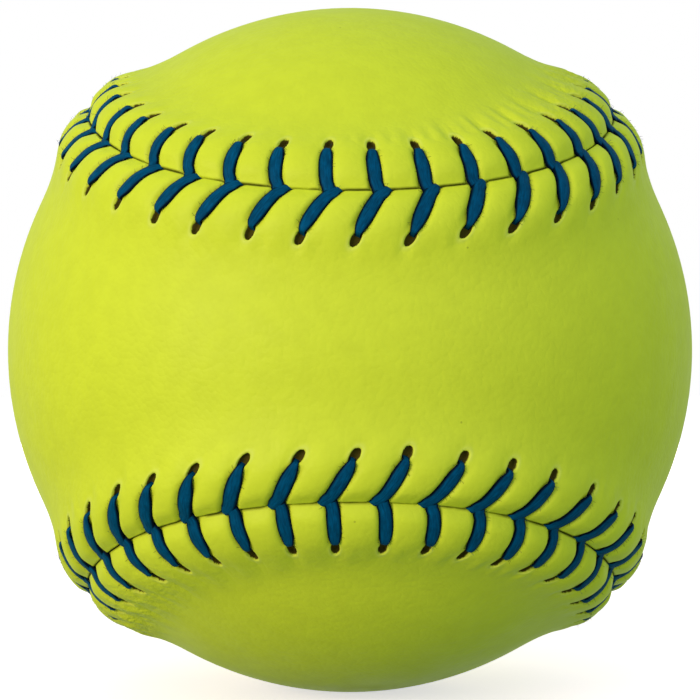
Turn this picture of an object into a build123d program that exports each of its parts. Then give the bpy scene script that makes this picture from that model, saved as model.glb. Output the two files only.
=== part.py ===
from build123d import *

import math
import os

# A 12-inch fast-pitch softball: a foam core, two figure-8 leather panels that meet in one raised
# seam, and the two halves of the flat waxed thread that sews them together.
# Lengths are in millimetres. The origin is the ball's centre, +Z is up, and the waist of the front
# panel faces -Y with the panel's long axis along X.

# Driving dimensions of the cover
circumference = 304.8
leather_thickness = 1.3
cement_line = 0.15
waist_width = 37.5
lobe_fullness = 0.0236

# Driving dimensions of the raised seam, each measured from the seam line or from the smooth cover
ridge_height = 2.5
ridge_offset = 2.0
shoulder_offset = 4.5
shoulder_height = 2.1
flank_offset = 7.0
flank_height = 1.25
ridge_reach = 10.6
ridge_sink = 0.15
crease_height = 1.4
crease_round = 0.25
seam_gap = 0.2

# Driving dimensions of the stitches
stitch_count = 88
first_stitch = 4.5
hole_offset = 6.0
hole_width = 1.5
hole_length = 1.9
front_lean = 3.9
rear_lean = 0.3
stagger = 1.7
thread_width = 1.1
thread_thickness = 0.6
thread_gap = 0.2
notch_width = 1.6
dive_lift = 0.6

# How finely the seam is measured, and how many ridge sections stand on a quarter of it
SEAM_STEPS = 2880
QUARTER_SECTIONS = 13

FRONT = 1
REAR = -1

ball_radius = circumference / (2 * math.pi)
core_radius = ball_radius - leather_thickness - cement_line
# A cut goes right through the leather from this far above the smooth cover to as far below it.
cut_reach = ridge_height + leather_thickness
# The thread crosses under the cover midway between the core and the underside of the crease.
tunnel_height = (crease_height - leather_thickness + core_radius - ball_radius) / 2


def seam_direction(turn):
    """Unit direction of the seam line at a turn in radians, 0 at the top of the front waist."""
    waist_angle = waist_width / 2 / ball_radius
    swing = waist_angle - math.asin(lobe_fullness * math.cos(waist_angle))
    wide = (1 + math.sin(swing)) / 2
    narrow = (1 - math.sin(swing)) / 2
    across = wide * math.sin(turn) + narrow * math.sin(3 * turn) + lobe_fullness * math.sin(5 * turn)
    depth = -math.cos(swing) * math.cos(2 * turn)
    up = wide * math.cos(turn) - narrow * math.cos(3 * turn) + lobe_fullness * math.cos(5 * turn)
    return Vector(across, depth, up).normalized()


def seam_frame(turn):
    """Outward, sewing and sideways directions at a turn; sideways points into the front panel."""
    step = 1e-4
    outward = seam_direction(turn)
    chord = seam_direction(turn + step) - seam_direction(turn - step)
    sewing = (chord - outward * chord.dot(outward)).normalized()
    return outward, sewing, sewing.cross(outward)


def seam_lengths():
    """Length of the seam, on the smooth cover, up to each of its evenly spaced turns."""
    lengths = [0.0]
    last = seam_direction(0)
    for i in range(1, SEAM_STEPS + 1):
        here = seam_direction(2 * math.pi * i / SEAM_STEPS)
        lengths.append(lengths[-1] + ball_radius * (here - last).length)
        last = here
    return lengths


SEAM_LENGTHS = seam_lengths()
seam_length = SEAM_LENGTHS[-1]
stitch_pitch = seam_length / stitch_count


def turn_at(along):
    """Turn at a length along the seam."""
    wanted = along % seam_length
    low = 0
    high = SEAM_STEPS
    while high - low > 1:
        middle = (low + high) // 2
        if SEAM_LENGTHS[middle] <= wanted:
            low = middle
        else:
            high = middle
    share = (wanted - SEAM_LENGTHS[low]) / (SEAM_LENGTHS[high] - SEAM_LENGTHS[low])
    return 2 * math.pi * (low + share) / SEAM_STEPS


def on_section(turn, across, height):
    """Point beside the seam at a turn: across it over the cover, and above the smooth cover."""
    outward, _, sideways = seam_frame(turn)
    lean = across / ball_radius
    return (outward * math.cos(lean) + sideways * math.sin(lean)) * (ball_radius + height)


def beside_seam(along, across, height):
    """Point at a length along the seam, across it over the cover, and above the smooth cover."""
    return on_section(turn_at(along), across, height)


def ridge_height_at(across):
    """Height of the raised seam over the smooth cover, on straight lines between its points."""
    stations = [
        (0.0, crease_height),
        (ridge_offset, ridge_height),
        (shoulder_offset, shoulder_height),
        (flank_offset, flank_height),
        (ridge_reach, -ridge_sink),
    ]
    off = abs(across)
    for (near, start), (far, end) in zip(stations, stations[1:]):
        if off <= far:
            return start + (end - start) * (off - near) / (far - near)
    return -ridge_sink


def ridge_section(turn, sink):
    """Closed outline of the raised seam at a turn, with its whole height lowered by sink."""

    def spot(across, height):
        return on_section(turn, across, height - sink)

    edges = []
    feet = []
    for side in (REAR, FRONT):
        foot = spot(side * ridge_reach, -ridge_sink)
        flank = spot(side * flank_offset, flank_height)
        shoulder = spot(side * shoulder_offset, shoulder_height)
        crest = spot(side * ridge_offset, ridge_height)
        inner = spot(side * ridge_offset / 2, (crease_height + ridge_height) / 2 + crease_round)
        crease = spot(0, crease_height)
        edges.append(Edge.make_line(foot, flank))
        edges.append(Edge.make_three_point_arc(flank, shoulder, crest))
        edges.append(Edge.make_three_point_arc(crest, inner, crease))
        feet.append(foot)
    edges.append(Edge.make_line(*feet))
    return Wire(edges)


def ridge(sink):
    """The whole raised seam in four quarters, lowered by sink."""
    return mirrored_quarters(Solid.make_loft([ridge_section(turn, sink) for turn in quarter_turns()]))


def ridged_ball(sink):
    """A ball with the raised seam on it, all lowered by sink from the outside of the cover."""
    return Sphere(ball_radius - sink) + ridge(sink)


def quarter_turns():
    """Evenly spaced turns of the seam's upper right quarter, from one mirror plane to the other."""
    return [math.pi / 2 * i / (QUARTER_SECTIONS - 1) for i in range(QUARTER_SECTIONS)]


def mirrored_quarters(quarter):
    """The four like quarters of a piece that runs along the whole seam."""
    half = [quarter, mirror(quarter, Plane.YZ)]
    return half + [mirror(piece, Plane.XY) for piece in half]


def parting_cut():
    """The narrow gap along the seam that parts the cover into its two panels."""
    half = seam_gap / 2
    corners = [(-half, -cut_reach), (half, -cut_reach), (half, cut_reach), (-half, cut_reach)]
    outlines = []
    for turn in quarter_turns():
        points = [on_section(turn, across, height) for across, height in corners]
        outlines.append(Wire.make_polygon(points, close=True))
    return mirrored_quarters(Solid.make_loft(outlines))


def dive_along(stitch, side):
    """Length along the seam at which a stitch's leg goes down between the panels."""
    vertex = first_stitch + stitch * stitch_pitch
    return vertex if side == FRONT else vertex - stagger


def hole_along(stitch, side):
    """Length along the seam of a stitch's punched hole in one panel."""
    return dive_along(stitch, side) - (front_lean if side == FRONT else rear_lean)


def hole_cut(stitch, side):
    """A punched hole, longer along its stitch leg."""
    middle = beside_seam(hole_along(stitch, side), side * hole_offset, 0)
    dive = beside_seam(dive_along(stitch, side), 0, 0)
    seat = Plane(origin=middle, x_dir=dive - middle, z_dir=middle)
    return seat * Box(hole_length, hole_width, 2 * cut_reach)


def notch_cut(stitch):
    """The notch in both panels' edges where a stitch's two legs go down side by side."""
    along = (dive_along(stitch, FRONT) + dive_along(stitch, REAR)) / 2
    outward, sewing, _ = seam_frame(turn_at(along))
    seat = Plane(origin=outward * ball_radius, x_dir=sewing, z_dir=outward)
    return seat * Box(stagger + thread_width + 2 * thread_gap, notch_width, 2 * cut_reach)


def cover_panels():
    """The front and rear panels, parted along the seam, each with its punched holes."""
    cover = ridged_ball(0) - ridged_ball(leather_thickness) - parting_cut()
    halves = sorted(cover.solids(), key=lambda half: half.bounding_box().size.Z)
    notches = [notch_cut(stitch) for stitch in range(stitch_count)]
    panels = []
    for half, side in zip(halves, (FRONT, REAR)):
        holes = [hole_cut(stitch, side) for stitch in range(stitch_count)]
        panels.append(half - holes - notches)
    return panels


def leg_points(stitch, side):
    """One stitch leg's route: up its hole, over the ridge and down between the panels."""
    hole = hole_along(stitch, side)
    dive = dive_along(stitch, side)
    lift = thread_gap + thread_thickness / 2
    route = [(hole, hole_offset, tunnel_height)]
    for across in (hole_offset, shoulder_offset, ridge_offset):
        along = dive + (hole - dive) * across / hole_offset
        route.append((along, across, ridge_height_at(across) + lift))
    route.append((dive, 0, crease_height + dive_lift + lift))
    route.append((dive, 0, tunnel_height))
    return [beside_seam(along, side * across, height) for along, across, height in route]


def strand_points(side):
    """Route of one half of the thread, from the middle of the thread to its tucked end."""
    other = beside_seam(hole_along(0, -side), -side * hole_offset, tunnel_height)
    first = beside_seam(hole_along(0, side), side * hole_offset, tunnel_height)
    points = [(first + other) / 2]
    for stitch in range(stitch_count):
        points += leg_points(stitch, side)
        side = -side
    following = beside_seam(hole_along(stitch_count, side), side * hole_offset, tunnel_height)
    points.append((points[-1] + following) / 2)
    return points


def thread_corners(before, here, after, flat):
    """The four corners of the flat thread on the mitre between two runs, its width along flat."""
    arriving = (here - before).normalized()
    leaving = (after - here).normalized()
    facing = (arriving + leaving).normalized()
    wide = (flat - facing * flat.dot(facing)).normalized() * (thread_width / 2)
    thick = facing.cross(wide).normalized() * (thread_thickness / 2 / facing.dot(leaving))
    return [here - wide - thick, here + wide - thick, here + wide + thick, here - wide + thick]


def ribbon(outlines):
    """A closed solid of flat faces through a row of four-cornered outlines."""
    faces = [Face(Wire.make_polygon(outline, close=True)) for outline in (outlines[0], outlines[-1])]
    for here, after in zip(outlines, outlines[1:]):
        for i in range(4):
            j = (i + 1) % 4
            for corners in ((here[i], here[j], after[j]), (here[i], after[j], after[i])):
                faces.append(Face(Wire.make_polygon(corners, close=True)))
    return Solid(Shell(faces))


def strand(side):
    """One half of the thread, a flat ribbon that lies on its wide side along every run."""
    points = strand_points(side)
    ends = [points[0] * 2 - points[1], *points, points[-1] * 2 - points[-2]]
    flat = None
    outlines = []
    for before, here, after in zip(ends, ends[1:], ends[2:]):
        outward = here.normalized()
        run = (after - before) - outward * (after - before).dot(outward)
        across = run.cross(outward).normalized()
        flat = -across if flat is not None and flat.dot(across) < 0 else across
        outlines.append(thread_corners(before, here, after, flat))
    return ribbon(outlines)


def build():
    """Every piece of the ball by its node name."""
    front_panel, rear_panel = cover_panels()
    return {
        "core": Sphere(core_radius),
        "front_panel": front_panel,
        "rear_panel": rear_panel,
        "needle_one_thread": strand(FRONT),
        "needle_two_thread": strand(REAR),
    }


os.makedirs("parts", exist_ok=True)
for name, piece in build().items():
    export_step(piece, f"parts/{name}.step")
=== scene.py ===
"""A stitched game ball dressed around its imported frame: leather panels, laced seam, studio, camera.

Lengths are in metres. The ball's centre is the origin, +Z is up and the front panel's waist faces -Y.
"""

from __future__ import annotations

import logging
import math
from abc import ABC, abstractmethod
from dataclasses import dataclass
from enum import Enum
from functools import cached_property
from typing import Any, NamedTuple

import bmesh
import bpy
import numpy as np
from bpy.types import Material, Mesh, Node, NodeSocket, NodeTree, Object
from mathutils import Euler, Matrix, Vector
from mathutils.geometry import delaunay_2d_cdt
from numpy import ndarray

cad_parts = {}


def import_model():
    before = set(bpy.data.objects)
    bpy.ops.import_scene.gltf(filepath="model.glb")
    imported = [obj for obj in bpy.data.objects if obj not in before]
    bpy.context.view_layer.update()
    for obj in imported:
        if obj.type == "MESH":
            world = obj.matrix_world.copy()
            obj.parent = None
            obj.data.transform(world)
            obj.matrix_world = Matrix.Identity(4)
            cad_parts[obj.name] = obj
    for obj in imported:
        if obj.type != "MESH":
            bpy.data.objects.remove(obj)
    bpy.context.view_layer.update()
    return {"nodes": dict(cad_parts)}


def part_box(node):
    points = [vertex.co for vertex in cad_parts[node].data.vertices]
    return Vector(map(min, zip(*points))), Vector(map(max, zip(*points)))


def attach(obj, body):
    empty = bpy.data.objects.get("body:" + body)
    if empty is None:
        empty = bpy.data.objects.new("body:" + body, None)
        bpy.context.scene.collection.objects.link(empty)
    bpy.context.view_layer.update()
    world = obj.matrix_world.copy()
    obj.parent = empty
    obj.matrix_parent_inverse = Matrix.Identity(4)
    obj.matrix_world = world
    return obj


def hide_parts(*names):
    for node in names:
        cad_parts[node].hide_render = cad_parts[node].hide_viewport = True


LOG = logging.getLogger("ball")
MM = 0.001
BODY = "root"

Colour = tuple[float, float, float, float]
Span = tuple[float, float]

WHITE: Colour = (1.0, 1.0, 1.0, 1.0)
NOISE_RANGE: Span = (0.3, 0.7)  # values that a soft random pattern mostly has


class Side(Enum):
    """The two cover panels, as the direction in which each lies from the seam."""

    FRONT = 1
    REAR = -1

    @property
    def other(self) -> Side:
        """The panel on the far side of the seam."""
        return Side(-self.value)


class Needle(Enum):
    """The two halves of the sewing thread, each by the panel that its first leg lies on."""

    ONE = 1
    TWO = -1

    def side(self, stitch: int) -> Side:
        """The panel that this half's leg of a stitch lies on."""
        return Side(self.value if stitch % 2 == 0 else -self.value)


class Wander(Enum):
    """The measures of a stitch that hand sewing leaves uneven."""

    TIP = 0
    LEAN = 1
    OFFSET = 2


def linear(*levels: int) -> Colour:
    """Turns screen levels of red, green and blue, 0 to 255, into the linear colour that shaders take."""
    shares = [level / 255 for level in levels]
    return *(s / 12.92 if s <= 0.04045 else ((s + 0.055) / 1.055) ** 2.4 for s in shares), 1.0


def smooth(low: Any, high: Any, value: Any) -> Any:
    """Rises smoothly from 0 at low to 1 at high."""
    share = np.clip((value - low) / (high - low), 0.0, 1.0)
    return share * share * (3 - 2 * share)


def fade(low: Any, high: Any, value: Any) -> Any:
    """Falls smoothly from 1 at low to 0 at high."""
    return 1 - smooth(low, high, value)


class Window(NamedTuple):
    """A stretch of a way: where it starts, where it is full, where it starts to fade, and its end."""

    start: float
    full: float
    fading: float
    end: Any

    def share(self, way: Any) -> Any:
        """How much of it there is at shares of the way, 0 to 1."""
        return smooth(self.start, self.full, way) * fade(self.fading, self.end, way)


def unit(vectors: ndarray) -> ndarray:
    """Vectors of the same directions, each of length 1."""
    return vectors / np.linalg.norm(vectors, axis=-1, keepdims=True)


def add_object(name: str, data: Any) -> Object:
    """Puts a new object with the given data in the scene.

    Args:
        name: Its name.
        data: Its mesh, light or camera.

    Returns:
        The object.
    """
    item = bpy.data.objects.new(name, data)
    bpy.context.collection.objects.link(item)
    return item


def add_mesh(name: str, points: Any, edges: Any = (), faces: Any = (), **measures: Any) -> Object:
    """Puts a new mesh in the scene.

    Args:
        name: Name of the mesh and of its object.
        points: Places of its points.
        edges: Pairs of points.
        faces: Rings of points.
        measures: Numbers that the points carry, by name.

    Returns:
        The object.
    """
    mesh = bpy.data.meshes.new(name)
    mesh.from_pydata(points, edges, faces)
    for measure, values in measures.items():
        numbers = np.asarray(values, dtype=np.float32)
        mesh.attributes.new(measure, "FLOAT", "POINT").data.foreach_set("value", numbers)
    return add_object(name, mesh)


class Noise(NamedTuple):
    """A soft random pattern: its patches to a metre, its finer layers and how strong those are."""

    scale: Any
    detail: float = 2.0
    roughness: float = 0.5


class Relief(NamedTuple):
    """How far a pattern stands out of a surface: the strength of its bumps and their depth."""

    strength: Any
    depth: float


class Graph:
    """A node tree that is written one node at a time."""

    def __init__(self, tree: NodeTree) -> None:
        """Takes an empty tree."""
        self.tree = tree

    def add(self, kind: str, settings: dict[str, Any] | None = None, **inputs: Any) -> Node:
        """Adds one node and fills its inputs.

        Args:
            kind: The node's type name.
            settings: Properties of the node itself.
            inputs: Values or sockets by input name, with spaces as underscores, or by in_NUMBER.

        Returns:
            The new node.
        """
        node = self.tree.nodes.new(kind)
        for name, value in (settings or {}).items():
            setattr(node, name, value)
        for name, value in inputs.items():
            key = int(name[3:]) if name.startswith("in_") else name.replace("_", " ")
            self.feed(node.inputs[key], value)
        return node

    def feed(self, socket: NodeSocket, value: Any) -> None:
        """Fills one input.

        Args:
            socket: The input.
            value: A socket or a node, whose first output is linked, or a plain value.
        """
        if isinstance(value, Node):
            value = value.outputs[0]
        if isinstance(value, NodeSocket):
            self.tree.links.new(value, socket)
        else:
            socket.default_value = value

    def math(self, operation: str, first: Any, second: Any = 0.0, third: Any = 0.0) -> NodeSocket:
        """Adds a Math node and returns its result."""
        settings = {"operation": operation}
        return self.add("ShaderNodeMath", settings, in_0=first, in_1=second, in_2=third).outputs[0]

    def times(self, first: Any, second: Any) -> NodeSocket:
        """Multiplies two numbers."""
        return self.math("MULTIPLY", first, second)

    def vector(self, operation: str, first: Any, second: Any = (0, 0, 0)) -> NodeSocket:
        """Adds a Vector Math node and returns its vector."""
        settings = {"operation": operation}
        return self.add("ShaderNodeVectorMath", settings, in_0=first, in_1=second).outputs["Vector"]

    def scaled(self, vector: Any, factor: Any) -> NodeSocket:
        """Multiplies a vector by a number."""
        settings = {"operation": "SCALE"}
        return self.add("ShaderNodeVectorMath", settings, in_0=vector, Scale=factor).outputs["Vector"]

    def mapped(self, value: Any, span: Span, low: Any = 0.0, high: Any = 1.0) -> NodeSocket:
        """Maps a span of values smoothly to two results, which hold beyond it.

        Args:
            value: The value.
            span: Where the mapping starts and ends.
            low: Result at its start.
            high: Result at its end.

        Returns:
            The result.
        """
        ends = {"in_1": span[0], "in_2": span[1], "in_3": low, "in_4": high}
        settings = {"interpolation_type": "SMOOTHSTEP"}
        return self.add("ShaderNodeMapRange", settings, in_0=value, **ends).outputs[0]

    def mixed(self, factor: Any, first: Any, second: Any) -> NodeSocket:
        """Adds a Mix node for colours and returns its result."""
        settings = {"data_type": "RGBA"}
        return self.add("ShaderNodeMix", settings, in_0=factor, in_6=first, in_7=second).outputs[2]

    def noise(self, place: Any, pattern: Noise) -> NodeSocket:
        """Adds a Noise Texture and returns its value."""
        sizes = {name.capitalize(): value for name, value in pattern._asdict().items()}
        return self.add("ShaderNodeTexNoise", Vector=place, **sizes).outputs["Fac"]

    def bump(self, height: Any, relief: Relief, **below: Any) -> Node:
        """Adds a Bump node, over the Normal below it if one is given."""
        strength, depth = relief
        return self.add("ShaderNodeBump", Strength=strength, Distance=depth, Height=height, **below)

    def attribute(self, name: str) -> NodeSocket:
        """A number that a piece's mesh carries, in a material."""
        return self.add("ShaderNodeAttribute", {"attribute_name": name}).outputs["Fac"]

    def field(self, name: str) -> NodeSocket:
        """A number that a piece's mesh carries, in a geometry tree."""
        node = self.add("GeometryNodeInputNamedAttribute", {"data_type": "FLOAT"}, Name=name)
        return node.outputs["Attribute"]

    def stored(self, geometry: Any, name: str, value: Any) -> Node:
        """Stores a number on a geometry's points.

        Args:
            geometry: The geometry.
            name: Name of the number.
            value: The number.

        Returns:
            The node that gives the geometry on.
        """
        settings = {"data_type": "FLOAT", "domain": "POINT"}
        inputs = {"Geometry": geometry, "Name": name, "Value": value}
        return self.add("GeometryNodeStoreNamedAttribute", settings, **inputs)

    def coordinate(self, axis: str) -> NodeSocket:
        """One coordinate of a geometry's points."""
        position = self.add("GeometryNodeInputPosition")
        return self.add("ShaderNodeSeparateXYZ", Vector=position).outputs[axis]

    def circle(self, sides: Any, radius: Any) -> Node:
        """Adds a curve round a circle."""
        return self.add("GeometryNodeCurvePrimitiveCircle", Resolution=sides, Radius=radius)

    def swept(self, curve: Any, section: Any, scale: Any) -> Node:
        """Sweeps a section along a curve, with closed ends."""
        sizes = {"Scale": scale, "Fill_Caps": True}
        return self.add("GeometryNodeCurveToMesh", Curve=curve, Profile_Curve=section, **sizes)


class Group(Graph):
    """A node group, whose first node gives its inputs and whose last takes its results."""

    def __init__(self, name: str, kind: str, inputs: dict[str, str], outputs: dict[str, str]) -> None:
        """Starts the group.

        Args:
            name: Its name.
            kind: The tree's type name.
            inputs: Kinds of socket by name.
            outputs: Kinds of socket by name.
        """
        super().__init__(bpy.data.node_groups.new(name, kind))
        for way, sockets in (("INPUT", inputs), ("OUTPUT", outputs)):
            for socket, holds in sockets.items():
                self.tree.interface.new_socket(socket, in_out=way, socket_type=f"NodeSocket{holds}")
        self.source = self.add("NodeGroupInput")
        self.result = self.add("NodeGroupOutput")

    def given(self, name: str) -> NodeSocket:
        """A named input of this group."""
        return self.source.outputs[name]

    def giving(self, name: str, value: Any) -> NodeTree:
        """Feeds the group's named result and returns its finished tree."""
        self.feed(self.result.inputs[name], value)
        return self.tree


@dataclass(frozen=True)
class Seam:
    """The one closed line on which the panels meet, drawn on the smooth cover."""

    radius: float  # radius of the smooth cover
    waist_width: float = 37.5 * MM  # width of a panel's waist over the cover, seam to seam
    lobe_fullness: float = 0.0236  # how square the panels' lobes are
    steps: int = 7200  # how finely the line is measured
    samples: int = 1440  # places of the line that a point is compared with
    tangent_step: float = 1e-4  # turn to each side over which the line's direction is taken

    def direction(self, turn: ndarray) -> ndarray:
        """Unit directions of the line.

        Args:
            turn: Turns in radians, 0 at the top of the front waist.

        Returns:
            The directions, one row of three numbers each.
        """
        half_waist = self.waist_width / 2 / self.radius
        swing = half_waist - math.asin(self.lobe_fullness * math.cos(half_waist))
        wide = (1 + math.sin(swing)) / 2
        narrow = (1 - math.sin(swing)) / 2
        full = self.lobe_fullness
        across = wide * np.sin(turn) + narrow * np.sin(3 * turn) + full * np.sin(5 * turn)
        depth = -math.cos(swing) * np.cos(2 * turn)
        up = wide * np.cos(turn) - narrow * np.cos(3 * turn) + full * np.cos(5 * turn)
        return unit(np.stack([across, depth, up], axis=-1))

    @cached_property
    def turns(self) -> ndarray:
        """Evenly spaced turns round the whole line, both ends included."""
        return np.linspace(0, 2 * math.pi, self.steps + 1)

    @cached_property
    def lengths(self) -> ndarray:
        """Length of the line up to each turn."""
        chords = np.diff(self.direction(self.turns) * self.radius, axis=0)
        return np.concatenate([[0.0], np.cumsum(np.linalg.norm(chords, axis=1))])

    @property
    def length(self) -> float:
        """Length of the whole line."""
        return float(self.lengths[-1])

    def frames(self, along: ndarray) -> tuple[ndarray, ndarray]:
        """Directions at lengths along the line.

        Args:
            along: Lengths along the line, which may run past its ends.

        Returns:
            The outward directions, and the sideways ones, which point into the front panel.
        """
        step = self.tangent_step
        turn = np.interp(np.mod(along, self.length), self.lengths, self.turns)
        outward = self.direction(turn)
        chord = self.direction(turn + step) - self.direction(turn - step)
        return outward, unit(np.cross(chord, outward))

    def place(self, along: ndarray, across: ndarray, height: ndarray) -> ndarray:
        """Points beside the line.

        Args:
            along: Lengths along the line.
            across: Distances from it over the cover, positive into the front panel.
            height: Heights above the smooth cover.

        Returns:
            The points, one row of three numbers each.
        """
        outward, sideways = self.frames(along)
        lean = (across / self.radius)[..., None]
        return (outward * np.cos(lean) + sideways * np.sin(lean)) * (self.radius + height)[..., None]

    def away(self, points: ndarray) -> ndarray:
        """Distances of points on the ball from the line.

        Args:
            points: Points, one row each.

        Returns:
            Each point's distance over the smooth cover, positive on the front panel.
        """
        outward, sideways = self.frames(np.linspace(0, self.length, self.samples, endpoint=False))
        heading = unit(points)
        closeness = heading @ outward.T
        nearest = np.argmax(closeness, axis=1)
        angle = np.arccos(np.clip(closeness[np.arange(len(heading)), nearest], -1, 1))
        sign = np.sign(np.einsum("ij,ij->i", heading, sideways[nearest]))
        return angle * self.radius * sign

    def guide(self) -> Object:
        """Draws the line as a loop of edges, for stitches to follow.

        Returns:
            The loop.
        """
        points = self.direction(self.turns[:-1]) * self.radius
        edges = [(index, (index + 1) % len(points)) for index in range(len(points))]
        return add_mesh("seam_line", points.tolist(), edges)


@dataclass(frozen=True)
class StitchPlan:
    """Where each stitch goes down the seam, where its two holes are, and how its legs bow."""

    seam: Seam  # the line that is sewn
    count: int = 88  # stitches round the seam
    first: float = 4.5 * MM  # length along the seam of the first stitch's tip
    hole_offset: float = 5.85 * MM  # distance of a hole's middle from the seam
    spur: float = 0.9 * MM  # how far a stitch's tip runs on along the seam past the front leg
    front_lean: float = 3.2 * MM  # how far a front hole lags behind the place where its leg meets the seam
    rear_lean: float = 0.3 * MM  # the same for a rear hole
    stagger: float = 1.7 * MM  # how far a rear leg meets the seam behind the tip
    gather: float = 0.68 * MM  # how far the stitches crowd towards the panels' waists
    # how much further a front hole lags after its panel's waist than on average
    front_swing: float = 0.83 * MM
    front_belly: float = 0.36 * MM  # how far a front leg bows back between the seam and its hole
    front_recoil: float = 1.1 * MM  # how much less it does so after its panel's waist
    rear_belly: float = 0.2 * MM  # how far a rear leg bows back, on average
    belly_swing: float = 0.95 * MM  # how much further it does so before its panel's waist
    girth: float = 0.32  # how much wider a leg's groove is well before and after a waist, as a share
    overrun: float = 0.35  # how far past its hole a leg's line goes on, as a share of the hole's distance
    hole_slant: float = 4.5 * MM  # greatest lag that this line gains in a hole's distance
    wander: float = 0.35 * MM  # greatest unevenness of the hand sewing
    tip_share: float = 0.4  # how much of it the tips' places have
    offset_share: float = 0.6  # how much of it the holes' distances have
    seed: int = 12  # seed of that unevenness

    @property
    def pitch(self) -> float:
        """Length of seam to one stitch."""
        return self.seam.length / self.count

    @property
    def bearings(self) -> ndarray:
        """Each stitch's place round the seam as an angle, 0 at the top of the front waist."""
        return 2 * math.pi * (self.first / self.seam.length + np.arange(self.count) / self.count)

    @property
    def sway(self) -> ndarray:
        """How far each stitch is past the front panel's waist, from -1 before it to 1 after it."""
        return np.sin(2 * self.bearings)

    def uneven(self, measure: Wander, side: Side) -> ndarray:
        """Unevenness of one measure of every stitch on one panel."""
        draw = np.random.default_rng([self.seed, measure.value, side.value + 1])
        return draw.uniform(-1, 1, self.count) * self.wander

    @property
    def tips(self) -> ndarray:
        """Lengths along the seam of the stitches' tips."""
        even = self.first + np.arange(self.count) * self.pitch - self.gather * np.sin(4 * self.bearings)
        return even + self.tip_share * self.uneven(Wander.TIP, Side.FRONT)

    def dives(self, side: Side) -> ndarray:
        """Lengths along the seam at which the legs on one panel meet it."""
        return self.tips - (self.spur if side is Side.FRONT else self.stagger)

    def leans(self, side: Side) -> ndarray:
        """How far the holes on one panel lag behind those places."""
        front = self.front_lean + self.front_swing * self.sway
        return (front if side is Side.FRONT else self.rear_lean) + self.uneven(Wander.LEAN, side)

    def bellies(self, side: Side) -> ndarray:
        """How far the legs on one panel bow back between the seam and their holes."""
        front = self.front_belly - self.front_recoil * np.clip(self.sway, 0, 1)
        return front if side is Side.FRONT else self.rear_belly - self.belly_swing * self.sway

    def offsets(self, side: Side) -> ndarray:
        """Distances of the holes on one panel from the seam."""
        return self.hole_offset + self.offset_share * self.uneven(Wander.OFFSET, side)

    def measures(self, side: Side) -> list[ndarray]:
        """The dives, leans, bellies and offsets of the stitches on one panel."""
        return [of_side(side) for of_side in (self.dives, self.leans, self.bellies, self.offsets)]

    def gathers(self, side: Side) -> ndarray:
        """How strongly the leather past each hole on one panel is gathered into folds, 0 to 1."""
        return np.clip(self.sway, 0, 1) if side is Side.REAR else np.zeros(self.count)

    def girths(self) -> ndarray:
        """How many times its usual width each leg's groove is."""
        return 1 + self.girth * np.abs(self.sway)

    def lag(self, lean: Any, belly: Any, share: Any) -> Any:
        """How far a leg lags behind its place on the seam.

        Args:
            lean: How far its hole lags.
            belly: How far it bows back.
            share: Share of the way from the seam to the hole.

        Returns:
            The lag, which runs straight on for a little past the hole.
        """
        near = np.clip(share, 0, 1)
        past = np.clip(share - 1, 0, self.overrun)
        return lean * near + 4 * belly * near * (1 - near) + self.lag_slope(lean, belly, 1) * past

    def lag_slope(self, lean: Any, belly: Any, share: Any) -> Any:
        """How fast that lag grows with the share, as far as a hole can slant."""
        slope = lean + 4 * belly * (1 - 2 * np.clip(share, 0, 1))
        return np.clip(slope, -self.hole_slant, self.hole_slant)


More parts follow.
